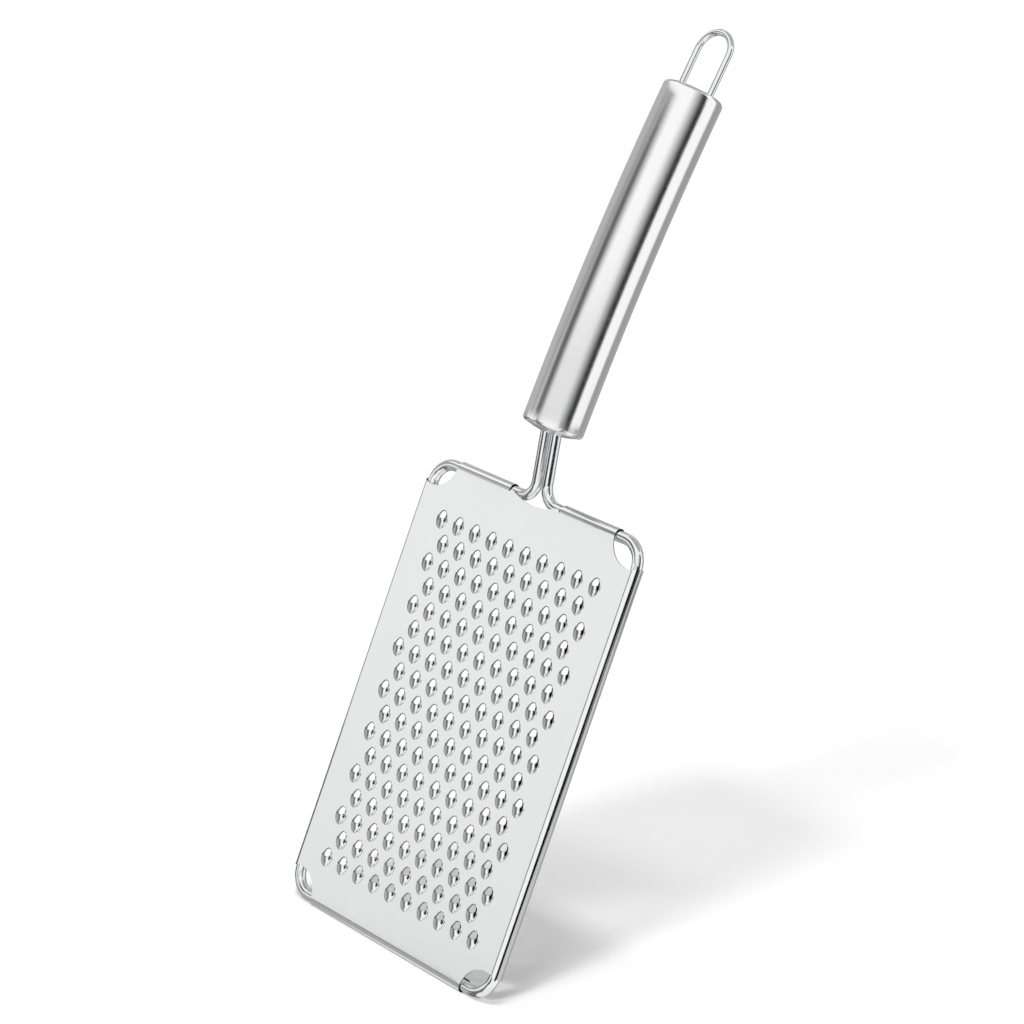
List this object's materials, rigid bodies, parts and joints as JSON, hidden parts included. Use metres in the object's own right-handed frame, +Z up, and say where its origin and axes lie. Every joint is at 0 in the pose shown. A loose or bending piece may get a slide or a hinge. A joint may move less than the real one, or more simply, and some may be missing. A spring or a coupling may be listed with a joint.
{
  "type": "flat hand grater",
  "caption": "Flat hand cheese grater: a punched steel sheet hemmed round a bent wire frame, on a bowed steel tube handle with a wire hanging loop.",
  "frame": {"origin": "the point under the crown of the hanging loop where a hook bears", "axes": "+Z up along the grater from the plate towards the loop, +X to the right seen from the grating face, the grating face looks along -Y and the sheet lies square to Y"},
  "size_m": [0.104, 0.0322, 0.3191],
  "materials": {
    "sheet_steel": "satin rolled stainless sheet, punched",
    "polished_wire": "bright polished stainless wire",
    "brushed_tube": "stainless tube brushed round its girth",
    "weld_steel": "cleaned weld bead"
  },
  "bodies": {
    "root": {"grating_plate": "sheet_steel", "frame_wire": "polished_wire", "handle_tube": "brushed_tube", "lower_end_cap": "brushed_tube", "upper_end_cap": "brushed_tube", "hanging_loop": "polished_wire", "neck_weld": "weld_steel", "wire_weld": "weld_steel", "loop_weld_left": "weld_steel", "loop_weld_right": "weld_steel"}
  },
  "joints": []
}
